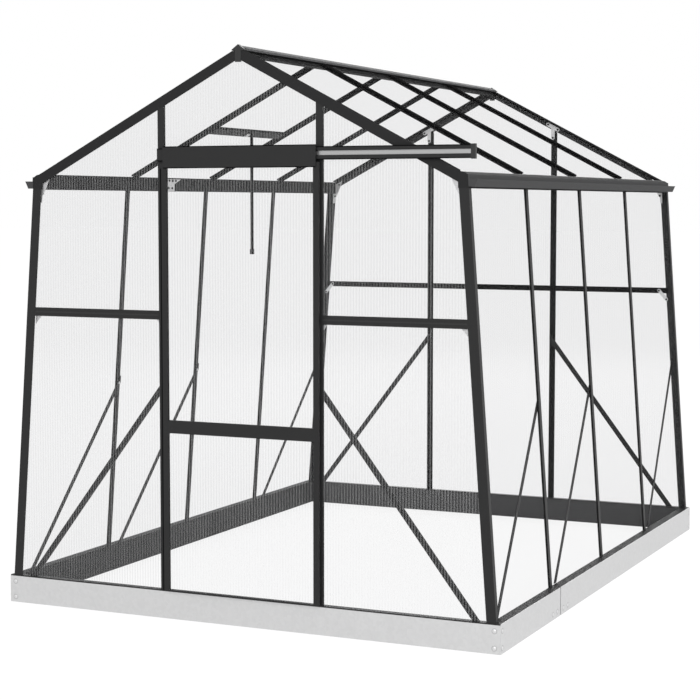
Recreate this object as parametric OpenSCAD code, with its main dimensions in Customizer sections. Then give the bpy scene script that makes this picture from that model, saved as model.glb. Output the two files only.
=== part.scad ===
// Walk-in polycarbonate greenhouse on a galvanised base: leaning side walls,
// gable roof with gutters, sliding front door on an outside rail, one roof vent.
// Millimetres. X to the right along the front, Y to the back, Z up,
// origin on the ground at the middle of the base.

/* [Overall] */
// Outside width of the galvanised base
base_w = 1900; // [1800:10:2100]
// Outside depth of the galvanised base
base_d = 2486; // [2200:10:3000]
// Height of the galvanised base
skirt_h = 100; // [80:5:140]
// Distance of the wall faces in from the sides of the base
foot_in = 16; // [4:1:20]
// Width between the outer wall faces at the eaves
eave_w = 1655; // [1600:5:1720]
// Height of the outer wall faces at the eaves
eave_h = 1542; // [1480:5:1620]
// Height where the two roof lines meet
ridge_h = 1975; // [1900:5:2100]

/* [Frame] */
// Number of bays along each side
bays = 4; // [3:1:6]
// Opening between the two sheets of a side
seam_w = 7; // [1:1:10]
// Face width of corner posts and front rafters
post_w = 34; // [30:1:40]
// Depth of the side flange of corner posts and front rafters
post_d = 22; // [18:1:26]
// Face width of the back gable rafters
back_face_w = 31; // [24:1:34]
// Depth of the top flange of the back gable rafters
back_flange_d = 40; // [22:1:50]
// Width of rafters, door posts and back posts
bar_w = 25; // [20:1:28]
// Width of the bars of the side walls
side_bar_w = 23; // [18:1:26]
// Depth of the roof rafters
rafter_d = 15; // [14:0.5:18]
// Thickness of the sills on top of the base
sill_h = 4; // [3:0.5:6]
// Width of the base channel along the sides
side_rail_w = 35.5; // [30:0.5:40]
// Width of the base channel along the ends
end_rail_w = 25; // [20:1:30]

/* [Panels] */
// Thickness of the twin-wall panels
panel_t = 4; // [4:0.5:6]

/* [Door] */
// Width of the sliding door
door_w = 600; // [560:2:640]
// Middle of the door from the middle of the front
door_x = 8; // [0:1:12]
// Height of the top of the door panels
door_top = 1571.5; // [1500:0.5:1580]
// Half the clear width between the door posts
door_gap = 289.5; // [270:0.5:310]
// Height of the door rail's lower edge
rail_z = 1596; // [1590:1:1610]
// Height of the door rail
rail_h = 44; // [40:1:50]
// Right end of the door rail
rail_end = 841; // [820:1:860]

/* [Bracing] */
// Top of the crossbars
cross_z = 1081; // [1000:5:1150]
// Width of the gable braces
brace_w = 20; // [16:1:26]
// Width of the side braces
side_brace_w = 18; // [14:1:22]
// Height where the side braces meet the next bar
brace_top = 752; // [650:2:800]

/* [Vent] */
// Distance of the vent bar from the ridge, measured across the width
vent_x = 437; // [380:1:470]
// Length of the vent stay
stay_l = 475; // [400:1:490]

/* [Hidden] */
$fn = 32;
// clearance between neighbouring pieces, and where two bars meet end to end
gap = 0.3;
butt = 0.05;
// sheet thickness of the base and of the frame profiles
skirt_t = 2;
wall_t = 3;
flange = 1.5;
plate_t = 2;
front = base_d / 2 - skirt_t;
pitch_y = 2 * front / bays;
sill_top = skirt_h;
sheet_h = skirt_h - sill_h;
// side walls and roof as planes leaning inwards
foot_w = base_w - 2 * foot_in;
lean = (foot_w - eave_w) / 2 / (eave_h - skirt_h);
lean_s = sqrt(1 + lean * lean);
slope = (ridge_h - eave_h) / (eave_w / 2);
slope_s = sqrt(1 + slope * slope);
// eave beam and ridge beam
beam_in = eave_w / 2 - post_w;
beam_bot = eave_h - 41;
beam_edge = 24;
ridge_half = 20;
cap_half = 24;
cap_under = ridge_h - 10.5;
cap_edge = cap_under + 6.5;
body_bot = cap_under - 17.5;
tab_half = 11;
tab_bot = body_bot - 21;
cap_t = 16;
// planes of the panels, measured inwards from the wall and roof faces
slot_w = panel_t + 2 * gap;
web_half = 2;
wall_d = 17;
wall_in = wall_d + panel_t;
roof_d = 5.3;
cover_t = 2;
roof_in = roof_d + panel_t;
gable_top = roof_in + 0.7;
h_depth = 2 * wall_t + slot_w;
// the side bars stand beside the rafters
bar_shift = 11;
brace_bays = [0, 1, bays - 1];
// gable bars
post_x1 = door_gap + bar_w;
post_mid = door_gap + bar_w / 2;
front_bar_h = 31;
back_bar_h = 24;
back_bar_t = 12;
// sliding door hanging in front of the wall
rail_d = 12;
rail_slot_z = 15;
rail_slot_h = 15;
slot_x = 31.5 - post_x1;
door_back = 7;
door_t = 10;
door_plate_t = 3;
stile_w = 21;
door_bot = sill_top;
door_mid = 680;
mid_half = 22.5;
door_face = -front - door_back - door_t;
door_slot_y = door_face + wall_t;
// roof vent in the second bay of the left slope
vent_bay = 1;
vent_bar_w = 34;
vent_web = 10;
stay_x = vent_x + 1;
stay_y = -front + (vent_bay + 0.5) * pitch_y;

// x of the wall plane at height z, moved inwards by d
function wx(z, d = 0) = foot_w / 2 - lean * (z - skirt_h) - d * lean_s;
// height of the roof plane at x, moved down by d
function rz(x, d = 0) = ridge_h - slope * x - d * slope_s;
// y of the middle of rafter i, counted from the front wall
function bar_y(i) = -front + i * pitch_y;
// y of the middle of side bar i
function side_y(i) = bar_y(i) - bar_shift;
// y of the joint of the eave beams, in the second bay
eave_seam = bar_y(1) + 0.46 * pitch_y;

// outline in x and z, run along y from y0 to y1
module run(y0, y1, pts) {
    translate([0, y1, 0]) rotate([90, 0, 0]) linear_extrude(y1 - y0) polygon(pts);
}
// the same piece on both sides of the middle
module both() {
    children();
    mirror([1, 0, 0]) children();
}
// the same piece at the front and at the back
module both_ends() {
    children();
    mirror([0, 1, 0]) children();
}
// strip of the right wall between depths d0 and d1
module wall_strip(y0, y1, d0, d1, z0, z1) {
    run(y0, y1, [[wx(z0, d0), z0], [wx(z1, d0), z1], [wx(z1, d1), z1], [wx(z0, d1), z0]]);
}
// strip of the right roof between depths d0 and d1
module roof_strip(y0, y1, d0, d1, x0, x1) {
    run(y0, y1, [[x0, rz(x0, d0)], [x1, rz(x1, d0)], [x1, rz(x1, d1)], [x0, rz(x0, d1)]]);
}
// upright strip from z0 up to the roof plane moved down by d
module roof_post(y0, y1, x0, x1, z0, d) {
    run(y0, y1, [[x0, z0], [x1, z0], [x1, rz(x1, d)], [x0, rz(x0, d)]]);
}
// straight flat bar of width w from a to b
module flat_line(a, b, w) {
    l = norm(b - a);
    n = [-(b[1] - a[1]), b[0] - a[0]] * w / 2 / l;
    polygon([a + n, b + n, b - n, a - n]);
}

// galvanised sheet across the front and the back
module skirt_ends() {
    color([0.82, 0.82, 0.82])
    both_ends() translate([-base_w / 2, -base_d / 2, 0]) cube([base_w, skirt_t, sheet_h]);
}

// galvanised sheets along the sides, in two lengths with a narrow seam
module skirt_sides() {
    seam = bar_y(1);
    x = base_w / 2 - skirt_t;
    color([0.8, 0.8, 0.8])
    both() {
        translate([x, -front + gap, 0]) cube([skirt_t, seam + front - gap - seam_w / 2, skirt_h]);
        translate([x, seam + seam_w / 2, 0]) cube([skirt_t, front - seam - gap - seam_w / 2, skirt_h]);
    }
}

// dark channels behind the sheets, open outwards
module base_rail_ends() {
    x = base_w / 2 - side_rail_w - skirt_t - gap;
    color([0.3, 0.3, 0.31])
    both_ends() difference() {
        translate([-x, -front + gap, 0]) cube([2 * x, end_rail_w - gap, sheet_h]);
        translate([-x - 1, -front, wall_t]) cube([2 * x + 2, end_rail_w - wall_t, sheet_h - 2 * wall_t]);
    }
}

module base_rail_sides() {
    x = base_w / 2 - side_rail_w - skirt_t;
    y = front - gap;
    color([0.3, 0.3, 0.31])
    both() difference() {
        translate([x, -y, 0]) cube([side_rail_w - gap, 2 * y, sheet_h]);
        translate([x + wall_t, -y - 1, wall_t]) cube([side_rail_w, 2 * y + 2, sheet_h - 2 * wall_t]);
    }
}

// flat sills that carry the posts and the panels, over the end sheets
// and between the side sheets
module sill_ends() {
    x = base_w / 2 - skirt_t - gap;
    color([0.25, 0.25, 0.26])
    both_ends() translate([-x, -base_d / 2, sheet_h]) cube([2 * x, end_rail_w + skirt_t, sill_h]);
}

module sill_sides() {
    x = base_w / 2 - side_rail_w - skirt_t;
    y = front - end_rail_w - gap;
    color([0.3, 0.3, 0.31])
    both() translate([x, -y, sheet_h]) cube([side_rail_w - gap, 2 * y, sill_h]);
}

// angle-shaped corner posts
module corner_posts() {
    z1 = beam_bot - butt;
    color([0.22, 0.22, 0.23])
    both_ends() both() union() {
        wall_strip(-front, -front + wall_t, 0, post_w, sill_top, z1);
        wall_strip(-front, -front + post_d, 0, wall_t, sill_top, z1);
    }
}

// upright with a slot on each side for the gable panels
module slotted_post() {
    roof_post(-front, -front + wall_t, door_gap, post_x1, sill_top, post_w + butt);
    roof_post(-front, -front + h_depth, post_mid - web_half, post_mid + web_half, sill_top, post_w + butt);
    roof_post(-front + h_depth - wall_t, -front + h_depth, door_gap, post_x1, sill_top, gable_top);
}

module door_posts() {
    color([0.22, 0.22, 0.23])
    both() union() slotted_post();
}

module back_posts() {
    color([0.22, 0.22, 0.23])
    mirror([0, 1, 0]) both() union() slotted_post();
}

// slotted bar over the doorway, behind the rail
module door_lintel() {
    z = rail_z + 4;
    w = 2 * (door_gap - gap);
    color([0.22, 0.22, 0.23])
    difference() {
        translate([-w / 2, -front, z]) cube([w, h_depth, bar_w]);
        translate([-w, -front + wall_t, z + bar_w / 2 + web_half]) cube([2 * w, slot_w, bar_w]);
        translate([-w, -front + wall_t, z - bar_w / 2 - web_half]) cube([2 * w, slot_w, bar_w]);
    }
}

module side_bars() {
    z1 = beam_bot - butt;
    d0 = wall_d - gap - flange;
    d1 = wall_in + gap + flange;
    color([0.24, 0.24, 0.25])
    both()
        for (i = [1:bays - 1]) union() {
            wall_strip(side_y(i) - side_bar_w / 2, side_y(i) + side_bar_w / 2, d0, d0 + flange, sill_top, z1);
            wall_strip(side_y(i) - web_half, side_y(i) + web_half, d0, d1, sill_top, z1);
            wall_strip(side_y(i) - side_bar_w / 2, side_y(i) + side_bar_w / 2, d1 - flange, d1, sill_top, z1);
        }
}

// angle-shaped rafter of a gable: face plate and top flange
module gable_rafter(face_w, flange_d) {
    x0 = tab_half + butt;
    o = eave_w / 2;
    e = o - beam_edge;
    run(-front, -front + wall_t,
        [[x0, cap_under - butt], [cap_half, rz(cap_half)], [e, rz(e)], [o - 12, eave_h + 10], [o, eave_h + 2],
         [wx(beam_bot), beam_bot], [beam_in, beam_bot], [beam_in, rz(beam_in, face_w)],
         [x0, rz(x0, face_w)]]);
    roof_strip(-front, -front + flange_d, 0, wall_t, cap_half + gap, beam_in - gap);
}

module gable_rafters() {
    color([0.22, 0.22, 0.23]) {
        both() union() gable_rafter(post_w, post_d);
        mirror([0, 1, 0]) both() union() gable_rafter(back_face_w, back_flange_d);
    }
}

module rafters() {
    x0 = ridge_half + gap;
    x1 = beam_in - gap;
    color([0.24, 0.24, 0.25])
    both()
        for (i = [1:bays - 1]) union() {
            roof_strip(bar_y(i) - bar_w / 2, bar_y(i) + bar_w / 2, 0, wall_t, x0, x1);
            roof_strip(bar_y(i) - bar_w / 2, bar_y(i) + bar_w / 2, -cover_t, wall_t, cap_half + gap, x1);
            roof_strip(bar_y(i) - web_half, bar_y(i) + web_half, 0, rafter_d, x0, x1);
            roof_strip(bar_y(i) - bar_w / 2, bar_y(i) + bar_w / 2, rafter_d - wall_t, rafter_d, x0, x1);
        }
}

// ridge beam: body, and a roof-shaped top with a slot under it for the panels
module ridge_beam() {
    y = front - wall_t - gap;
    yt = front + 1 - cap_t - gap;
    color([0.26, 0.26, 0.27])
    union() {
        run(-yt, yt, [[0, cap_edge + 11], [cap_half, cap_edge], [cap_half, cap_under],
                      [-cap_half, cap_under], [-cap_half, cap_edge]]);
        translate([-ridge_half, -y, body_bot]) cube([2 * ridge_half, 2 * y, cap_under - body_bot]);
        translate([-ridge_half, -yt, body_bot]) cube([2 * ridge_half, 2 * yt, cap_under - body_bot + 1]);
    }
}

// moulded caps over both ends of the ridge, with a tab down between the rafters
module ridge_caps() {
    color([0.2, 0.2, 0.21])
    both_ends() union() {
        run(-front - 1, -front - 1 + cap_t,
            [[0, cap_edge + 14], [cap_half, cap_edge - 3.5], [cap_half, cap_under],
             [-cap_half, cap_under], [-cap_half, cap_edge - 3.5]]);
        translate([-tab_half, -front - 1, tab_bot]) cube([2 * tab_half, wall_t + 1, cap_under - tab_bot + 1]);
    }
}

// eave beams in two lengths joined in the second bay
module eave_beams() {
    o = eave_w / 2;
    e = o - beam_edge;
    y = front - wall_t - gap;
    color([0.27, 0.27, 0.28])
    both()
        for (r = [[-y, eave_seam - gap / 2], [eave_seam + gap / 2, y]])
            run(r[0], r[1], [[beam_in, beam_bot], [wx(beam_bot), beam_bot], [o, eave_h + 2],
                             [o - 12, eave_h + 10], [e, rz(e)], [beam_in, rz(e)]]);
}

// open gutters along the outside of the eave beams, with closed ends
module gutters() {
    o = eave_w / 2 + gap;
    z = beam_bot + 5;
    b = wx(z) + gap;
    lip = eave_h - 12;
    color([0.27, 0.27, 0.28])
    both() union() {
        run(-front - 2, front + 2,
            [[o, eave_h + 3], [o + 2, eave_h + 3], [b + 2, z + 4], [o + 20, z + 3],
             [o + 31, lip], [o + 34, lip], [o + 22, z - 1.5], [b + 3, z], [b, z]]);
        both_ends()
            run(-front - 2, -front,
                [[b + 1, z + 2], [o + 1.5, lip], [o + 32.5, lip], [o + 21, z + 1]]);
    }
}

// flat bars across the front gable beside the door, with a groove along the middle
module front_crossbars() {
    z0 = cross_z - front_bar_h;
    x0 = post_x1 + butt;
    x1 = wx(z0, post_w) - butt;
    x2 = wx(cross_z, post_w) - butt;
    color([0.22, 0.22, 0.23])
    both() difference() {
        run(-front, -front + wall_t, [[x0, z0], [x1, z0], [x2, cross_z], [x0, cross_z]]);
        translate([0, -front - 1, z0 + front_bar_h / 2 - 2.5]) cube([base_w, 2.2, 5]);
    }
}

// bar across the back gable, on the inner side of the back posts
module back_crossbar() {
    z1 = cross_z - 1;
    z0 = z1 - back_bar_h;
    x0 = wx(z0, wall_in + 3);
    x1 = wx(z1, wall_in + 3);
    y1 = front - h_depth - gap;
    color([0.22, 0.22, 0.23])
    run(y1 - back_bar_t, y1, [[-x0, z0], [x0, z0], [x1, z1], [-x1, z1]]);
}

// diagonal of a gable from the sill up to the post, grooved on its outer side;
// its middle line passes through the two points given
module gable_brace(low, high) {
    t = 7;
    n = (high - low) / norm(high - low) * 70;
    color([0.22, 0.22, 0.23])
    both()
        translate([0, -front + h_depth + gap + t, 0]) rotate([90, 0, 0]) difference() {
            linear_extrude(t) intersection() {
                flat_line(low - n, high + n, brace_w);
                translate([door_gap + 2, sill_top]) square([base_w / 2 - door_gap, cross_z]);
            }
            translate([0, 0, t - 2]) linear_extrude(9) flat_line(low - 2 * n, high + 2 * n, 4);
        }
}

module front_braces() {
    gable_brace([855.5, 105], [322, 800]);
}

module back_braces() {
    mirror([0, 1, 0]) gable_brace([857, 105], [325, 800]);
}

// flat diagonals on the inner side of the side bars
module side_braces() {
    d = wall_in + 2 * gap + flange;
    t = 3;
    a = atan(lean);
    foot_v = (0.4 + (d + t) * sin(a)) / cos(a);
    top_v = (brace_top - skirt_h) * lean_s;
    color([0.22, 0.22, 0.23])
    both()
        translate([foot_w / 2, 0, skirt_h]) rotate([0, -a, 0]) translate([-d - t, 0, 0]) rotate([90, 0, 90])
            for (i = brace_bays) {
                foot = [bar_y(i) + (i == 0 ? 70 : 57), 0];
                head = [side_y(i + 1), top_v];
                run_on = (head - foot) / norm(head - foot) * 40;
                y_end = i == bays - 1 ? front - wall_t - slot_w - gap : head[0] + bar_w / 2;
                linear_extrude(t) intersection() {
                    flat_line(foot - run_on, head + run_on, side_brace_w);
                    translate([bar_y(i), foot_v]) square([y_end - bar_y(i), 2 * top_v]);
                }
            }
}

// light corner plates inside the eaves, behind the gable panels
module eave_gussets() {
    y = -front + wall_t + slot_w;
    x = beam_in - gap;
    z = beam_bot - gap;
    color([0.72, 0.72, 0.73])
    both_ends() both()
        run(y, y + plate_t,
            [[x, z], [x, rz(x, 14)], [x - 34, rz(x - 34, 14)], [x - 25, z + 33], [x - 9, z - 3],
             [x + 3, z - 22], [x + 6, z - 46], [x + 14, z - 46], [x + 12, z]]);
}

// light plates with six holes over the joints of the eave beams
module eave_plates() {
    x = beam_in - gap - plate_t;
    z = beam_bot;
    h = rz(beam_in - gap, roof_in) - gap - z;
    color([0.72, 0.72, 0.73])
    both() translate([x, eave_seam, z]) rotate([90, 0, 90]) linear_extrude(plate_t) difference() {
        polygon([[-28, 1], [28, 1], [28, h - 19], [43, h - 14], [80, h],
                 [-80, h], [-43, h - 14], [-28, h - 19]]);
        for (p = [[-39, h - 6], [-13, h - 6], [13, h - 6], [39, h - 6], [-20, 13], [8, 13]])
            translate(p) circle(r = 3, $fn = 24);
    }
}

// light T-shaped plate with three holes, its stem at x = mid
module tee_plate(mid) {
    arm = 23;
    a = [mid - arm, rz(mid - arm, 18)];
    b = [mid + arm, rz(mid + arm, 18)];
    c = [mid, rz(mid, 18) - 48];
    translate([0, front - h_depth - gap, 0]) rotate([90, 0, 0]) linear_extrude(plate_t) difference() {
        union() {
            flat_line(a, b, 17);
            flat_line([c[0], c[1] + 44], c, 17);
            for (p = [a, b, c]) translate(p) circle(r = 8.5);
        }
        for (p = [a, b, c]) translate(p) circle(r = 3, $fn = 24);
    }
}

// plates at the top of the back posts, both a little to the left of their post
module back_tee_plates() {
    color([0.72, 0.72, 0.73]) {
        tee_plate(post_mid - 5);
        mirror([1, 0, 0]) tee_plate(post_mid + 7);
    }
}

// light corner plates under the front crossbars, behind the panels
module crossbar_gussets() {
    y = -front + wall_t + slot_w;
    z = cross_z - front_bar_h + 5;
    x0 = post_x1 + gap;
    x1 = wx(z, post_w);
    color([0.72, 0.72, 0.73])
    both() {
        run(y, y + plate_t, [[x1, z], [x1 - 28, z], [x1 + 2, z - 34]]);
        run(y, y + plate_t, [[x0, z], [x0 + 16, z], [x0, z - 24]]);
    }
}

// light straps from the ends of the back crossbar to the corners
module back_straps() {
    y = front - h_depth - back_bar_t - 2 * gap;
    a = [802, cross_z - 13];
    b = [wx(cross_z - 52, wall_in) - 8, cross_z - 52];
    color([0.72, 0.72, 0.73])
    both()
        translate([0, y, 0]) rotate([90, 0, 0]) linear_extrude(plate_t) difference() {
            union() {
                flat_line(a, b, 14);
                translate(a) circle(r = 7);
                translate(b) circle(r = 7);
            }
            for (p = [a, b]) translate(p) circle(r = 2.5, $fn = 24);
        }
}

// rail that carries the door, slotted along its outer side
module door_rail() {
    x = 3.5 - post_x1;
    color([0.24, 0.24, 0.25])
    difference() {
        translate([x, -front - rail_d, rail_z]) cube([rail_end - x, rail_d, rail_h]);
        translate([slot_x, -front - rail_d - 1, rail_z + rail_slot_z])
            cube([rail_end + 1 - slot_x, 10, rail_slot_h]);
    }
}

// bright wear strip at the bottom of the slot
module rail_strip() {
    x0 = slot_x + gap;
    color([0.68, 0.68, 0.68])
    translate([x0, -front - rail_d + 7, rail_z + rail_slot_z + gap])
        cube([rail_end - x0, 2 - gap, rail_slot_h - 2 * gap]);
}

module rail_end_cap() {
    color([0.1, 0.1, 0.1])
    translate([rail_end + butt, -front - rail_d, rail_z - 2]) cube([16, rail_d, rail_h + 4]);
}

// slotted bar across the roof below the vent
module vent_bar() {
    y0 = bar_y(vent_bay) + bar_w / 2 + gap;
    y1 = bar_y(vent_bay + 1) - bar_w / 2 - gap;
    color([0.22, 0.22, 0.23])
    mirror([1, 0, 0]) difference() {
        roof_strip(y0, y1, wall_t, roof_in + gap + 2.5, vent_x, vent_x + vent_bar_w);
        roof_strip(y0 - 1, y1 + 1, roof_d - gap, roof_in + gap, vent_x - 1, vent_x + vent_web);
        roof_strip(y0 - 1, y1 + 1, roof_d - gap, roof_in + gap,
                   vent_x + vent_web + 5, vent_x + vent_bar_w + 1);
    }
}

// panel of the vent, from the ridge to the vent bar
module vent_panel() {
    y0 = bar_y(vent_bay) + web_half + gap;
    y1 = bar_y(vent_bay + 1) - web_half - gap;
    color([0.9, 0.92, 0.93])
    mirror([1, 0, 0]) roof_strip(y0, y1, roof_d, roof_in, ridge_half + gap, vent_x + vent_web - gap);
}

// rod hanging from the vent bar with a weight at its end
module vent_stay() {
    z1 = rz(stay_x + 5, roof_in + 3);
    color([0.2, 0.2, 0.21])
    union() {
        translate([-stay_x - 5, stay_y - 4, z1 - stay_l]) cube([10, 8, stay_l]);
        translate([-stay_x - 6.5, stay_y - 6.5, z1 - stay_l - 2]) cube([13, 13, 20]);
    }
}

// light clip under the vent bar beside the stay
module vent_clip() {
    d = roof_in + 2 * gap + 2.5;
    x = stay_x + 9;
    color([0.72, 0.72, 0.73])
    mirror([1, 0, 0]) roof_strip(stay_y - 10, stay_y + 20, d, d + plate_t, x, x + 18);
}

module side_panels() {
    color([0.92, 0.93, 0.94])
    both()
        for (i = [0:bays - 1]) {
            y0 = i == 0 ? -front + wall_t + slot_w : side_y(i) + web_half + gap;
            y1 = i == bays - 1 ? front - wall_t - slot_w : side_y(i + 1) - web_half - gap;
            wall_strip(y0, y1, wall_d, wall_in, sill_top + gap, beam_bot - gap);
        }
}

module roof_panels() {
    color([0.92, 0.93, 0.94])
    for (s = [0, 1], i = [0:bays - 1]) {
        y0 = i == 0 ? -front + wall_t + gap : bar_y(i) + web_half + gap;
        y1 = i == bays - 1 ? front - wall_t - gap : bar_y(i + 1) - web_half - gap;
        vented = s == 1 && i == vent_bay;
        x0 = vented ? vent_x + vent_web + 5 + gap : ridge_half + gap;
        mirror([s, 0, 0]) roof_strip(y0, y1, roof_d, roof_in, x0, beam_in - gap);
    }
}

// gable panels between the corner posts and the inner posts
module gable_side_panels() {
    x0 = post_mid + web_half + gap;
    z0 = sill_top + gap;
    z1 = beam_bot - gap;
    o = wall_t + gap;
    x1 = beam_in - gap;
    y0 = -front + wall_t + gap;
    color([0.92, 0.93, 0.94])
    both_ends() both()
        run(y0, y0 + panel_t,
            [[x0, z0], [wx(z0, o), z0], [wx(z1, o), z1], [x1, z1],
             [x1, rz(x1, gable_top)], [x0, rz(x0, gable_top)]]);
}

// middle panel of a gable, up to the ridge, starting at height z0
module gable_mid_panel(z0) {
    x = post_mid - web_half - gap;
    r = ridge_half + 1;
    b = body_bot - 1;
    y0 = -front + wall_t + gap;
    run(y0, y0 + panel_t,
        [[-x, z0], [x, z0], [x, rz(x, gable_top)], [r, rz(r, gable_top)], [r, b], [-r, b],
         [-r, rz(r, gable_top)], [-x, rz(x, gable_top)]]);
}

module gable_mid_panels() {
    color([0.92, 0.93, 0.94]) {
        gable_mid_panel(rail_z + 4 + bar_w / 2 + web_half + gap);
        mirror([0, 1, 0]) gable_mid_panel(sill_top + gap);
    }
}

// slots of the door frame for its two panels
module door_slots(grow) {
    x0 = door_x - door_w / 2 + stile_w - 7;
    w = door_w - 2 * stile_w + 14;
    for (r = [[door_bot + 3, door_mid - mid_half + 7], [door_mid + mid_half - 7, door_top + 7]])
        translate([x0 - grow, door_slot_y + gap - grow, r[0] - grow])
            cube([w + 2 * grow, panel_t + 2 * grow, r[1] - r[0] + 2 * grow]);
}

module door_stiles() {
    color([0.22, 0.22, 0.23])
    difference() {
        for (x = [door_x - door_w / 2, door_x + door_w / 2 - stile_w])
            translate([x, door_face, door_bot]) cube([stile_w, door_t, door_top + 17 - door_bot]);
        door_slots(gap);
    }
}

module door_rails() {
    w = door_w - 2 * stile_w - 2 * butt;
    color([0.22, 0.22, 0.23])
    difference() {
        for (r = [[door_bot, 6], [door_mid - mid_half, 2 * mid_half], [door_top, 17]])
            translate([door_x - w / 2, door_face, r[0]]) cube([w, door_t, r[1]]);
        door_slots(gap);
    }
}

module door_panels() {
    color([0.95, 0.95, 0.96]) door_slots(0);
}

// wide plate at the top of the door, in front of the rail
module door_top_plate() {
    color([0.2, 0.2, 0.21])
    translate([door_x - door_w / 2 + 8, door_face - door_plate_t, door_top])
        cube([door_w - 18, door_plate_t, 75]);
}

// two wheels on pins that run in the rail
module door_rollers() {
    z = rail_z + rail_slot_z + rail_slot_h / 2;
    color([0.35, 0.35, 0.36])
    for (x = [-200, 200])
        translate([door_x + x, door_face, z]) rotate([-90, 0, 0]) union() {
            cylinder(h = 10, r = 2.5);
            translate([0, 0, 6]) cylinder(h = 4, r = 6.5);
        }
}

skirt_ends();
skirt_sides();
base_rail_ends();
base_rail_sides();
sill_ends();
sill_sides();
corner_posts();
door_posts();
door_lintel();
back_posts();
side_bars();
gable_rafters();
rafters();
ridge_beam();
ridge_caps();
eave_beams();
gutters();
front_crossbars();
back_crossbar();
front_braces();
back_braces();
side_braces();
eave_gussets();
eave_plates();
back_tee_plates();
crossbar_gussets();
back_straps();
door_rail();
rail_strip();
rail_end_cap();
vent_bar();
vent_panel();
vent_stay();
vent_clip();
side_panels();
roof_panels();
gable_side_panels();
gable_mid_panels();
door_stiles();
door_rails();
door_top_plate();
door_rollers();
door_panels();
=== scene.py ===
import math

import bmesh
import bpy
from mathutils import Matrix, Vector


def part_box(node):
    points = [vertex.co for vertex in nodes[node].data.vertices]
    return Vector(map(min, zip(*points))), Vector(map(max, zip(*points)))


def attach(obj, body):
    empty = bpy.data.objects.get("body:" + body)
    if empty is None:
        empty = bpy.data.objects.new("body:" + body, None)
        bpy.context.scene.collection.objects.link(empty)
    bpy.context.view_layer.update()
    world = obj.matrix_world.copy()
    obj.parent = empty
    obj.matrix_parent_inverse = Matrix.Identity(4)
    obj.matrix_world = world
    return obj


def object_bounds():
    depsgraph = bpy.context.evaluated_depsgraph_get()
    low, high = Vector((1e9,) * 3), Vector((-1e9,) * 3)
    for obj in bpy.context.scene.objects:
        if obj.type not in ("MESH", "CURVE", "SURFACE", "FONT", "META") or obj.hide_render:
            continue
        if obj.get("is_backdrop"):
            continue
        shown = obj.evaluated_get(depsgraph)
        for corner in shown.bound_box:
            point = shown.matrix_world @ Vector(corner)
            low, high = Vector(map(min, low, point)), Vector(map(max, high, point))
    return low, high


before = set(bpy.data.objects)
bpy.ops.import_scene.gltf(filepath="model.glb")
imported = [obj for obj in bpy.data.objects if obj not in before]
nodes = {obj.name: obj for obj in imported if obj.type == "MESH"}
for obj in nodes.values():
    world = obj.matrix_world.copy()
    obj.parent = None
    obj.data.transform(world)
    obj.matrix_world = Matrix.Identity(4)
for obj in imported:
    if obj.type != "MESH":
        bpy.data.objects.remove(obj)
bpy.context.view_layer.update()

# --- Camera ------------------------------------------------------------------
# Stands in front of the house and to its right, a little below eye height,
# with a long lens, looking slightly down at the middle of the front.
bpy.ops.object.select_all(action="DESELECT")
bpy.ops.object.camera_add(
    location=(2.8804, -6.6296, 1.4485),
    rotation=(math.radians(90 - 4.625), 0, math.radians(24.5906)),
)
camera = bpy.context.object
camera.rotation_euler.rotate_axis("Z", math.radians(0.0304))
camera.data.lens = 92.475
camera.data.sensor_width = 36
camera.data.clip_end = 200
bpy.context.scene.camera = camera


# --- Studio ------------------------------------------------------------------
# A pale floor that runs out to a white backdrop, an even soft sky and three
# large lamps: a key over the camera, a fill from the right and a weaker one
# from behind. The floor keeps a soft shadow of the house.
class Value:
    """A changing number or colour of a finish; Python's signs add Math nodes."""

    def __init__(self, finish, socket):
        self.finish, self.socket = finish, socket

    def maths(self, operation, *values):
        settings = {"operation": operation}
        return self.finish.node("ShaderNodeMath", settings, dict(enumerate(values)))

    def __add__(self, other):
        return self.maths("ADD", self, other)

    __radd__ = __add__

    def __sub__(self, other):
        return self.maths("SUBTRACT", self, other)

    def __rsub__(self, other):
        return self.maths("SUBTRACT", other, self)

    def __mul__(self, other):
        return self.maths("MULTIPLY", self, other)

    __rmul__ = __mul__

    def __truediv__(self, other):
        return self.maths("DIVIDE", self, other)


class Finish:
    """A node tree, built node by node around the shader it already has."""

    def __init__(self, owner, shader, **constants):
        owner.use_nodes = True
        self.owner, self.tree = owner, owner.node_tree
        self.shader = self.tree.nodes[shader]
        for socket, value in constants.items():
            self.shader.inputs[socket.replace("_", " ")].default_value = value

    def plug(self, socket, value):
        if isinstance(value, Value):
            self.tree.links.new(value.socket, socket)
        else:
            socket.default_value = value

    def node(self, kind, settings, inputs, output=0):
        node = self.tree.nodes.new(kind)
        for name, setting in settings.items():
            if name == "stops":
                ramp = node.color_ramp.elements
                while len(ramp) < len(setting):
                    ramp.new(0.5)
                for stop, (place, grey) in zip(ramp, setting):
                    stop.position, stop.color = place, (grey, grey, grey, 1)
            else:
                setattr(node, name, setting)
        for socket, value in inputs.items():
            self.plug(node.inputs[socket], value)
        return Value(self, node.outputs[output])

    def set(self, **changing):
        for socket, value in changing.items():
            self.plug(self.shader.inputs[socket.replace("_", " ")], value)


def shown(finish):
    """1 for what is looked at, mirrored or seen through, 0 for light on the house."""
    seen = finish.node("ShaderNodeLightPath", {}, {}, "Is Camera Ray")
    mirrored = finish.node("ShaderNodeLightPath", {}, {}, "Is Glossy Ray")
    through = finish.node("ShaderNodeLightPath", {}, {}, "Is Transmission Ray")
    return seen.maths("MAXIMUM", seen, seen.maths("MAXIMUM", mirrored, through))


world = bpy.data.worlds.new("studio_sky")
bpy.context.scene.world = world
sky = Finish(world, "Background", Color=(1, 1, 1, 1))
sky_level = 0.72
sky.set(Strength=shown(sky) * (1 - sky_level) + sky_level)

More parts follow.
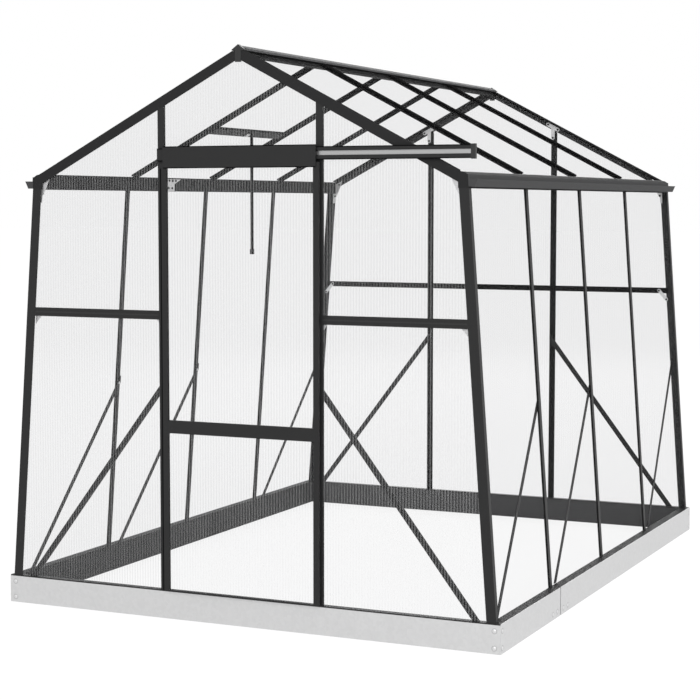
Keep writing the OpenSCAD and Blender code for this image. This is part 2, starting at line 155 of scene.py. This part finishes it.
bpy.ops.object.select_all(action="DESELECT")
bpy.ops.mesh.primitive_plane_add(size=120, location=(0, 30, -0.001))
floor = bpy.context.object
floor.name = "studio_floor"
paint = Finish(
    bpy.data.materials.new("studio_floor"),
    "Principled BSDF",
    Base_Color=(0.8, 0.8, 0.8, 1),
    Roughness=0.9,
    Specular_IOR_Level=0.0,
)
backdrop_share = 0.82
glow = paint.node("ShaderNodeEmission", {}, {"Color": (1, 1, 1, 1), "Strength": 1.1})
mixed = paint.node(
    "ShaderNodeMixShader",
    {},
    {0: shown(paint) * backdrop_share, 1: Value(paint, paint.shader.outputs[0]), 2: glow},
)
paint.plug(paint.tree.nodes["Material Output"].inputs["Surface"], mixed)
floor.data.materials.append(paint.owner)
floor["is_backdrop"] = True

for name, place, power, size in (
    ("key_lamp", (2.5, -8.5, 5.0), 252, 5.0),
    ("fill_lamp", (8.5, -1.0, 4.5), 228, 5.0),
    ("back_lamp", (-2.0, 8.5, 5.5), 200, 5.0),
):
    aim = (Vector((0, 0, 0.9)) - Vector(place)).to_track_quat("-Z", "Y").to_euler()
    bpy.ops.object.light_add(type="AREA", location=place, rotation=aim)
    lamp = bpy.context.object
    lamp.name = name
    lamp.data.shape, lamp.data.size = "DISK", size
    lamp.data.energy = power
    lamp.visible_camera = False
bpy.context.scene.view_settings.view_transform = "Standard"


# --- Base sheets and their bolts ---------------------------------------------
# Four sheets of hot-dip galvanised steel, 2 mm thick and 100 mm high, stand on
# the ground round the base. The side sheets are in two lengths, butted at a
# seam, and cup-head bolts hold the sheets at the corners and beside the seam.
def wear(piece, finish):
    piece.data.materials.clear()
    piece.data.materials.append(finish.owner)


def steel(name, grey, rough, spangle=0.0, size=0.012):
    finish = Finish(
        bpy.data.materials.new(name),
        "Principled BSDF",
        Metallic=0.85,
        Specular_IOR_Level=0.4,
    )
    place = finish.node("ShaderNodeTexCoord", {}, {}, "Object")
    flakes = finish.node(
        "ShaderNodeTexVoronoi", {}, {"Vector": place, "Scale": 1 / size}, "Color"
    )
    flake = finish.node("ShaderNodeSeparateColor", {}, {0: flakes})
    cloud = finish.node(
        "ShaderNodeTexNoise",
        {},
        {"Vector": place, "Scale": 9.0, "Detail": 6.0, "Roughness": 0.6},
    )
    grain = finish.node(
        "ShaderNodeTexNoise",
        {},
        {"Vector": place, "Scale": 420.0, "Detail": 3.0, "Roughness": 0.6},
    )
    light = flake * spangle + cloud * 0.10 + grain * 0.03
    colour = finish.node(
        "ShaderNodeMix",
        {"data_type": "RGBA"},
        {
            0: light - 0.02,
            6: (grey * 0.87, grey * 0.87, grey * 0.874, 1),
            7: (grey * 1.5, grey * 1.5, grey * 1.5, 1),
        },
        2,
    )
    bump = finish.node(
        "ShaderNodeBump",
        {},
        {"Height": flake * 0.4 + grain * 0.3, "Strength": 0.06, "Distance": 0.001},
    )
    finish.set(
        Base_Color=colour,
        Roughness=flake * (spangle * 0.5) + cloud * 0.12 + (rough - 0.06),
        Normal=bump,
    )
    return finish


zinc_sheet = steel("galvanised_sheet", 0.70, 0.48, spangle=0.08, size=0.011)
wear(nodes["skirt_ends"], zinc_sheet)
wear(nodes["skirt_sides"], zinc_sheet)


def cup_head(radius, height):
    """A cup head standing up from the origin: a ball cut off flat, with a rim."""
    bpy.ops.object.select_all(action="DESELECT")
    ball = (radius * radius + height * height) / (2 * height)
    bpy.ops.mesh.primitive_uv_sphere_add(
        segments=20, ring_count=16, radius=ball, location=(0, 0, height - ball)
    )
    head = bpy.context.object
    bpy.ops.object.transform_apply(location=True, rotation=True, scale=True)
    bpy.ops.object.mode_set(mode="EDIT")
    bpy.ops.mesh.select_all(action="SELECT")
    bpy.ops.mesh.bisect(
        plane_co=(0, 0, 0.0004), plane_no=(0, 0, 1), use_fill=True, clear_inner=True
    )
    bpy.ops.object.mode_set(mode="OBJECT")
    edit = bmesh.new()
    edit.from_mesh(head.data)
    bmesh.ops.recalc_face_normals(edit, faces=edit.faces)
    for face in edit.faces:
        face.select_set(face.normal.z < -0.9)
    edit.to_mesh(head.data)
    edit.free()
    bpy.ops.object.mode_set(mode="EDIT")
    bpy.ops.mesh.extrude_region_move(TRANSFORM_OT_translate={"value": (0, 0, -0.0004)})
    bpy.ops.object.mode_set(mode="OBJECT")
    bpy.ops.object.shade_smooth_by_angle(angle=math.radians(40))
    return head


def bar(name, low, high, bevel=0.0004):
    """A straight bar between two corners, its edges broken by a small bevel."""
    low, high = Vector(low), Vector(high)
    bpy.ops.object.select_all(action="DESELECT")
    bpy.ops.mesh.primitive_cube_add(
        size=1, location=(low + high) / 2, scale=tuple(high - low)
    )
    bpy.ops.object.transform_apply(location=True, rotation=True, scale=True)
    piece = bpy.context.object
    piece.name = piece.data.name = name
    bpy.ops.object.mode_set(mode="EDIT")
    bpy.ops.mesh.select_all(action="SELECT")
    bpy.ops.mesh.bevel(offset=bevel, segments=2, affect="EDGES")
    bpy.ops.object.mode_set(mode="OBJECT")
    return piece


def joined(name, pieces, body, finish):
    """Joins pieces of one kind, gives them their finish and fixes them to a body."""
    bpy.ops.object.select_all(action="DESELECT")
    for piece in pieces:
        piece.select_set(True)
    bpy.context.view_layer.objects.active = pieces[0]
    if len(pieces) > 1:
        bpy.ops.object.join()
    piece = bpy.context.object
    piece.name = piece.data.name = name
    wear(piece, finish)
    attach(piece, body)
    return piece


def spread(master, name, places, body, finish):
    """Copies the master to each place, pointing along each direction, as one piece."""
    copies = []
    for place, direction in places:
        copy = master.copy()
        copy.data = master.data.copy()
        bpy.context.scene.collection.objects.link(copy)
        turn = Vector(direction).to_track_quat("Z", "Y").to_matrix().to_4x4()
        copy.data.transform(Matrix.Translation(place) @ turn)
        copies.append(copy)
    return joined(name, copies, body, finish)


def drop(master):
    bpy.data.objects.remove(master)


bright_zinc = steel("zinc_plated_bolts", 0.78, 0.5)
low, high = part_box("skirt_sides")
side_x, seam_y = high.x, -0.6205
low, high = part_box("skirt_ends")
end_y = high.y
bolt_x, bolt_y, bolt_heights = 0.928, 1.226, (0.019, 0.076)
corner_bolts = []
for x in (-1, 1):
    for y in (-1, 1):
        for z in bolt_heights:
            corner_bolts.append(((x * bolt_x, y * end_y, z), (0, y, 0)))
            corner_bolts.append(((x * side_x, y * bolt_y, z), (x, 0, 0)))
seam_bolt_z = 0.020
seam_bolts = []
for x in (-1, 1):
    for step in (-0.084, -0.034, 0.034, 0.084):
        seam_bolts.append(((x * side_x, seam_y + step, seam_bolt_z), (x, 0, 0)))
plate_out, plate_in, plate_reach = 0.9476, 0.9456, 0.105
plates = [
    bar(
        "joint_plate",
        (min(x * plate_out, x * plate_in), seam_y - plate_reach, 0.005),
        (max(x * plate_out, x * plate_in), seam_y + plate_reach, 0.091),
    )
    for x in (-1, 1)
]
# The joint plates are galvanised like the sheets; their darker grey is painted shade in
# the gap at the seam.
seam_shade_zinc = steel("joint_plate_painted_shade", 0.4, 0.5, spangle=0.08)
joined("joint_plates", plates, "greenhouse", seam_shade_zinc)
master = cup_head(0.0075, 0.0024)
spread(master, "corner_bolts", corner_bolts, "greenhouse", bright_zinc)
spread(master, "seam_bolts", seam_bolts, "greenhouse", bright_zinc)
drop(master)


def ring(radius, hole, height):
    """A washer lying on the origin: a disc inset once, its middle let down."""
    bpy.ops.object.select_all(action="DESELECT")
    bpy.ops.mesh.primitive_cylinder_add(
        vertices=20, radius=radius, depth=height, location=(0, 0, height / 2)
    )
    bpy.ops.object.transform_apply(location=True, rotation=True, scale=True)
    washer = bpy.context.object
    for face in washer.data.polygons:
        face.select = face.normal.z > 0.9
    bpy.ops.object.mode_set(mode="EDIT")
    bpy.ops.mesh.inset(thickness=radius - hole)
    bpy.ops.transform.translate(value=(0, 0, -height * 0.5))
    bpy.ops.object.mode_set(mode="OBJECT")
    return washer


# Real washers under the cup heads; their darker zinc is also painted shade, a dark ring
# round each head.
washer = ring(0.0098, 0.0078, 0.0007)
spread(
    washer,
    "base_washers",
    corner_bolts + seam_bolts,
    "greenhouse",
    steel("washers_painted_shade", 0.56, 0.5),
)
drop(washer)


# --- Base channels and sills -------------------------------------------------
# Dark coated steel channels run round the inside of the sheets, open outwards,
# with a flat sill on top that the posts and the panels stand on.
def coated(name, grey, rough=0.5, along="Z", shine=0.26):
    """Dark powder coat on a bar: fine orange peel and faint lines along it."""
    finish = Finish(
        bpy.data.materials.new(name),
        "Principled BSDF",
        Specular_IOR_Level=shine,
    )
    place = finish.node("ShaderNodeTexCoord", {}, {}, "Object")
    stretch = {"X": (4, 160, 160), "Y": (160, 4, 160), "Z": (160, 160, 4)}[along]
    drawn = finish.node("ShaderNodeMapping", {}, {"Vector": place, "Scale": stretch})
    lines = finish.node(
        "ShaderNodeTexNoise", {}, {"Vector": drawn, "Scale": 2.0, "Detail": 3.0}
    )
    peel = finish.node(
        "ShaderNodeTexNoise",
        {},
        {"Vector": place, "Scale": 650.0, "Detail": 2.0, "Roughness": 0.5},
    )
    cloud = finish.node(
        "ShaderNodeTexNoise",
        {},
        {"Vector": place, "Scale": 3.5, "Detail": 5.0, "Roughness": 0.6},
    )
    colour = finish.node(
        "ShaderNodeMix",
        {"data_type": "RGBA"},
        {
            0: cloud * 0.7 + lines * 0.3,
            6: (grey * 0.9, grey * 0.9, grey * 0.92, 1),
            7: (grey * 1.1, grey * 1.1, grey * 1.12, 1),
        },
        2,
    )
    bump = finish.node(
        "ShaderNodeBump",
        {},
        {"Height": peel + lines * 0.4, "Strength": 0.12, "Distance": 0.0006},
    )
    finish.set(
        Base_Color=colour,
        Roughness=cloud * 0.08 + peel * 0.06 + (rough - 0.07),
        Normal=bump,
    )
    return finish


frame_grey = 0.016
coat_x = coated("frame_coat_across", frame_grey, along="X")
coat_y = coated("frame_coat_along", 0.018, along="Y", shine=0.08)
# The channels have the frame's dark coat; their lighter greys are painted light, more on
# the end channels than on the side ones.
wear(nodes["base_rail_ends"], coated("base_coat_across_painted_light", 0.075, 0.6, "X", 0.1))
wear(nodes["base_rail_sides"], coated("base_coat_along_painted_light", 0.04, 0.6, "Y", 0.1))
wear(nodes["sill_ends"], coat_x)
wear(nodes["sill_sides"], coat_y)

# --- Corner posts ------------------------------------------------------------
# Angles of extruded aluminium, powder coated dark grey, that lean inwards with
# the side walls. They stand on the sills and carry the eave beams.
coat_z = coated("frame_coat_upright", frame_grey, along="Z")
wear(nodes["corner_posts"], coat_z)

# --- Door posts, lintel and back posts ---------------------------------------
# Slotted extrusions that hold the edges of the gable panels. The front pair
# and the lintel between them frame the doorway; the back pair are the same.
wear(nodes["door_posts"], coat_z)
# The back posts have the frame's coat, painted darker: painted shade.
wear(nodes["back_posts"], coated("back_post_painted_shade", 0.01, 0.6, "Z", 0.08))
wear(nodes["door_lintel"], coat_x)

# --- Side bars ---------------------------------------------------------------
# Slim uprights with a slot on each side, between the panels of the side walls.
wear(nodes["side_bars"], coat_z)

# --- Rafters and ridge -------------------------------------------------------
# Angles over both gables, T-shaped rafters between them, and a ridge beam whose
# roof-shaped top is painted paler as a painted highlight, all coated aluminium.
# Moulded black caps close the two ends of the ridge, and black strips between its
# top and the roof panels are painted shadow under the top's overhang.
# The gable rafters have the rafters' dark coat, painted lighter: painted light on them.
wear(nodes["gable_rafters"], coated("gable_rafter_painted_light", 0.03, 0.7, "X", 0.0))
wear(nodes["rafters"], coated("rafter_coat", 0.014, 0.7, "X", 0.0))
ridge_coat = coated("ridge_coat", 0.018, 0.6, "Y", 0.04)
# Above this height the ridge's colour is painted paler, mottled by noise: a painted
# highlight on its top.
ridge_highlight_z = 1.9644
place = ridge_coat.node("ShaderNodeTexCoord", {}, {}, "Object")
height = ridge_coat.node("ShaderNodeSeparateXYZ", {}, {0: place}, "Z")
highlight_mask = height.maths("GREATER_THAN", height, ridge_highlight_z)
highlight_mottle = ridge_coat.node(
    "ShaderNodeTexNoise", {}, {"Vector": place, "Scale": 60.0, "Detail": 3.0}
)
coat = Value(ridge_coat, ridge_coat.shader.inputs["Base Color"].links[0].from_socket)
painted_highlight = ridge_coat.node(
    "ShaderNodeMix",
    {"data_type": "RGBA"},
    {0: highlight_mask * (highlight_mottle * 0.2 + 0.9), 6: coat, 7: (0.10, 0.10, 0.102, 1)},
    2,
)
ridge_coat.set(Base_Color=painted_highlight)
wear(nodes["ridge_beam"], ridge_coat)


def moulded(name, grey, rough=0.45, shine=0.35):
    """Black plastic with a fine spark-eroded texture."""
    finish = Finish(
        bpy.data.materials.new(name),
        "Principled BSDF",
        Specular_IOR_Level=shine,
    )
    place = finish.node("ShaderNodeTexCoord", {}, {}, "Object")
    grain = finish.node(
        "ShaderNodeTexNoise",
        {},
        {"Vector": place, "Scale": 900.0, "Detail": 2.0, "Roughness": 0.6},
    )
    cloud = finish.node(
        "ShaderNodeTexNoise", {}, {"Vector": place, "Scale": 12.0, "Detail": 4.0}
    )
    colour = finish.node(
        "ShaderNodeMix",
        {"data_type": "RGBA"},
        {
            0: cloud * 0.6 + grain * 0.4,
            6: (grey * 0.85, grey * 0.85, grey * 0.87, 1),
            7: (grey * 1.2, grey * 1.2, grey * 1.2, 1),
        },
        2,
    )
    bump = finish.node(
        "ShaderNodeBump", {}, {"Height": grain, "Strength": 0.25, "Distance": 0.0004}
    )
    finish.set(
        Base_Color=colour,
        Roughness=grain * 0.1 + cloud * 0.06 + (rough - 0.08),
        Normal=bump,
    )
    return finish


black_cap = moulded("black_mouldings", 0.022)
wear(nodes["ridge_caps"], black_cap)

# Black strips along both sides of the ridge, just under its top, are painted shadow under
# the top's overhang.
ridge_shadow_in, ridge_shadow_out, ridge_shadow_end = 0.0204, 0.0236, 1.2235
ridge_shadow_strips = [
    bar(
        "ridge_shadow_strip",
        (min(x * ridge_shadow_in, x * ridge_shadow_out), -ridge_shadow_end, 1.9586),
        (max(x * ridge_shadow_in, x * ridge_shadow_out), ridge_shadow_end, 1.9643),
        bevel=0.0002,
    )
    for x in (-1, 1)
]
# A near-black finish for the strips that are painted shade: under the ridge's top, along
# the door rail, along the door plate and beside the door's edge.
shade_black = moulded("painted_shade_black", 0.003, 0.8, 0.04)
joined("ridge_painted_shadow", ridge_shadow_strips, "greenhouse", shade_black)

# --- Eave beams and gutters --------------------------------------------------
# Beams in two lengths along the tops of the side walls, each with an open
# gutter of dark coated aluminium hung on its outer side.
wear(nodes["eave_beams"], coated("eave_coat", 0.018, 0.6, "Y", 0.05))
# The gutters have the same dark coat, painted lighter: painted light on them.
wear(nodes["gutters"], coated("gutter_painted_light", 0.07, 0.6, "Y", 0.04))

# --- Crossbars and braces ----------------------------------------------------
# Grooved flat bars across the gables and diagonal braces behind the panels,
# which keep the frame square. All dark coated, with black strips in the front
# crossbars' grooves as painted shade.
wear(nodes["front_crossbars"], coat_x)
# The back crossbar has the frame's coat, painted darker: painted shade.
wear(nodes["back_crossbar"], coated("back_bar_painted_shade", 0.008, 0.7, "X", 0.05))
for name in ("front_braces", "back_braces"):
    wear(nodes[name], coat_z)
wear(nodes["side_braces"], coat_z)
# Black strips in the grooves of the front crossbars: painted shade in the grooves.
low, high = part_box("front_crossbars")
groove_z, groove_shade_in, groove_shade_out = (low.z + high.z) / 2, 0.3170, high.x - 0.002
groove_shade_strips = [
    bar(
        "groove_shade_strip",
        (min(x * groove_shade_in, x * groove_shade_out), low.y + 0.0006, groove_z - 0.0024),
        (max(x * groove_shade_in, x * groove_shade_out), low.y + 0.0011, groove_z + 0.0024),
        bevel=0.0001,
    )
    for x in (-1, 1)
]
joined("crossbar_groove_shade", groove_shade_strips, "greenhouse", black_cap)

# --- Light plates and their bolts --------------------------------------------
# Bare galvanised steel plates join the frame: gussets at the eaves and under
# the crossbars, joint plates on the eave beams, T-plates on the back posts.
zinc_plate = steel("galvanised_plates", 0.72, 0.5, spangle=0.08, size=0.006)
for name in (
    "eave_gussets",
    "eave_plates",
    "back_tee_plates",
    "crossbar_gussets",
    "back_straps",
    "vent_clip",
):
    wear(nodes[name], zinc_plate)

def hex_head(across, height):
    """A hexagon bolt head on the origin: six sides, a turned-down top, a washer face."""
    bpy.ops.object.select_all(action="DESELECT")
    bpy.ops.mesh.primitive_cylinder_add(
        vertices=6, radius=across / math.sqrt(3), depth=height, location=(0, 0, height / 2)
    )
    bpy.ops.object.transform_apply(location=True, rotation=True, scale=True)
    head = bpy.context.object
    for face in head.data.polygons:
        face.select = face.normal.z > 0.9
    bpy.ops.object.mode_set(mode="EDIT")
    bpy.ops.mesh.bevel(offset=height * 0.22, segments=2, affect="EDGES")
    bpy.ops.object.mode_set(mode="OBJECT")
    for face in head.data.polygons:
        face.select = face.normal.z < -0.9
    bpy.ops.object.mode_set(mode="EDIT")
    bpy.ops.mesh.inset(thickness=across * 0.04)
    bpy.ops.object.mode_set(mode="OBJECT")
    return head


black_bolt = steel("blackened_bolts", 0.012, 0.6)
heads = []
tee_holes = (
    (0.274, 1.8113),
    (0.320, 1.7872),
    (0.297, 1.7513),
    (-0.286, 1.8050),
    (-0.332, 1.7810),
    (-0.309, 1.7450),
)
low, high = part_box("back_tee_plates")
for x, z in tee_holes:
    heads.append(((x, low.y, z), (0, -1, 0)))
strap_holes = ((0.8363, 1.029), (0.8020, 1.068))
low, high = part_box("back_straps")
for side in (-1, 1):
    for x, z in strap_holes:
        heads.append(((side * x, low.y, z), (0, -1, 0)))
low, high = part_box("eave_plates")
middle = (low.y + high.y) / 2
for x in (-1, 1):
    for step, up in (
        (-0.039, 0.041),
        (-0.013, 0.041),
        (0.013, 0.041),
        (0.039, 0.041),
        (-0.020, 0.012),
        (0.008, 0.012),
    ):
        inner = x * (high.x - 0.002)
        heads.append(((inner, middle + step, low.z + up), (-x, 0, 0)))
low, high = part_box("eave_gussets")
for x in (-1, 1):
    for y in (-1, 1):
        inner = y * (high.y - 0.002)
        for in_x, up in ((0.0120, 0.0330), (0.0330, 0.0880)):
            heads.append(((x * (high.x - in_x), inner, low.z + up), (0, -y, 0)))
master = hex_head(0.0085, 0.0028)
spread(master, "plate_bolts", heads, "greenhouse", black_bolt)
drop(master)

brace_bolt_x, brace_bolt_z = 0.8608, 0.752
brace_bolts = []
for x in (-1, 1):
    for y in (-0.6315, -0.0110, 1.2300):
        brace_bolts.append(((x * brace_bolt_x, y, brace_bolt_z), (-x, 0, 0)))
master = hex_head(0.010, 0.004)
spread(master, "brace_bolts", brace_bolts, "greenhouse", bright_zinc)
drop(master)

# --- Door rail ---------------------------------------------------------------
# An extruded rail across the front, slotted along its outer side for the
# rollers, with a bright running strip in the slot, thin black strips along its
# upper and lower edges as painted shade, and a moulded black end cap.
wear(nodes["door_rail"], coat_x)
wear(nodes["rail_strip"], steel("running_strip", 0.5, 0.35))
wear(nodes["rail_end_cap"], black_cap)
low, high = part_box("door_rail")
# Thin black strips along the rail's upper and lower edges: painted shade at those edges.
shade_line_h = 0.0032
shade_lines = [
    bar(
        "rail_shade_line",
        (low.x + 0.001, low.y - 0.0004, z),
        (high.x - 0.001, low.y + 0.0004, z + shade_line_h),
        bevel=0.0001,
    )
    for z in (low.z, high.z - shade_line_h)
]
joined("rail_shade_lines", shade_lines, "greenhouse", shade_black)

# --- Roof vent ---------------------------------------------------------------
# A panel between the ridge and a slotted, dark coated bar in the second bay of
# the left slope, with a black steel stay hanging from the bar.
wear(nodes["vent_bar"], coat_y)
wear(nodes["vent_stay"], coated("stay_coat", 0.01, 0.6, "Z", 0.1))


# --- Twin-wall panels --------------------------------------------------------
# Clear 4 mm polycarbonate with two walls and ribs 10.6 mm apart. The ribs run
# up and down and show as faint light stripes where something dark is behind,
# fainter on the back gable's sheets.
def twin_wall(name, across, veil, haze):
    """Smoky clear sheet whose ribs, a fixed pitch apart, add a veil of light."""
    finish = Finish(
        bpy.data.materials.new(name),
        "Principled BSDF",
        Roughness=0.3,
        IOR=1.45,
    )
    place = finish.node("ShaderNodeTexCoord", {}, {}, "Object")
    axis = finish.node("ShaderNodeSeparateXYZ", {}, {0: place}, across)
    along = finish.node("ShaderNodeSeparateXYZ", {}, {0: place}, "Y")
    front = along.maths("LESS_THAN", along, 0.0)
    pitch = 0.0106
    wave = axis.maths("PINGPONG", axis, pitch / 2) / (pitch / 2)
    rib = finish.node(
        "ShaderNodeMapRange",
        {"interpolation_type": "SMOOTHSTEP"},
        {0: wave, 1: 0.22, 2: 0.52, 3: 1.0, 4: 0.0},
    )
    stretch = (30, 1, 1.2) if across == "X" else (1, 30, 1.2)
    streaks = finish.node(
        "ShaderNodeMapping", {}, {"Vector": place, "Scale": stretch}
    )
    streak = finish.node(
        "ShaderNodeTexNoise", {}, {"Vector": streaks, "Scale": 1.0, "Detail": 3.0}
    )
    colour = finish.node(
        "ShaderNodeMix",
        {"data_type": "RGBA"},
        {0: streak, 6: (0.92, 0.925, 0.93, 1), 7: (0.99, 0.992, 0.995, 1)},
        2,
    )
    bump = finish.node(
        "ShaderNodeBump", {}, {"Height": rib, "Strength": 0.1, "Distance": 0.0003}
    )
    finish.set(Base_Color=colour, Normal=bump)
    clear = finish.node(
        "ShaderNodeBsdfTransparent", {}, {"Color": (0.955, 0.955, 0.956, 1)}
    )
    veiled = finish.node(
        "ShaderNodeMixShader",
        {},
        {
            0: rib * (streak * veil + veil * 0.5) * (front * 0.75 + 0.25) + haze,
            1: clear,
            2: Value(finish, finish.shader.outputs[0]),
        },
    )
    finish.plug(finish.tree.nodes["Material Output"].inputs["Surface"], veiled)
    return finish


ribs_across = twin_wall("twin_wall_gables", "X", 0.07, 0.008)
ribs_along = twin_wall("twin_wall_sides", "Y", 0.003, 0.005)
for name in ("gable_side_panels", "gable_mid_panels", "door_panels"):
    wear(nodes[name], ribs_across)
for name in ("side_panels", "roof_panels", "vent_panel"):
    wear(nodes[name], ribs_along)

# --- Sliding door ------------------------------------------------------------
# A frame of two stiles and three rails in the same dark coat, hung by a wide
# plate and two rollers from the rail, with its own two panels, and black strips
# along its closing edge and along the plate's upper and lower edges as painted shade.
wear(nodes["door_stiles"], coat_z)
wear(nodes["door_rails"], coat_x)
wear(nodes["door_top_plate"], coat_x)
wear(nodes["door_rollers"], black_cap)
low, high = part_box("door_stiles")
top_rail_z = 1.5715
# A black strip beside the door's closing edge: painted shade in the gap between the door
# and the post.
door_edge_strip = bar(
    "door_edge_shade_strip",
    (low.x - 0.0050, low.y + 0.001, low.z),
    (low.x - 0.0002, low.y + 0.007, top_rail_z),
)
joined("door_edge_painted_shade", [door_edge_strip], "sliding_door", shade_black)
# Thin black strips along the plate's upper and lower edges: painted shade at those edges.
low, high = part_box("door_top_plate")
shade_line_h = 0.003
shade_lines = [
    bar(
        "plate_shade_line",
        (low.x + 0.001, low.y - 0.0004, z),
        (high.x - 0.001, low.y + 0.0004, z + shade_line_h),
        bevel=0.0001,
    )
    for z in (low.z, high.z - shade_line_h)
]
joined("plate_shade_lines", shade_lines, "sliding_door", shade_black)

low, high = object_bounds()
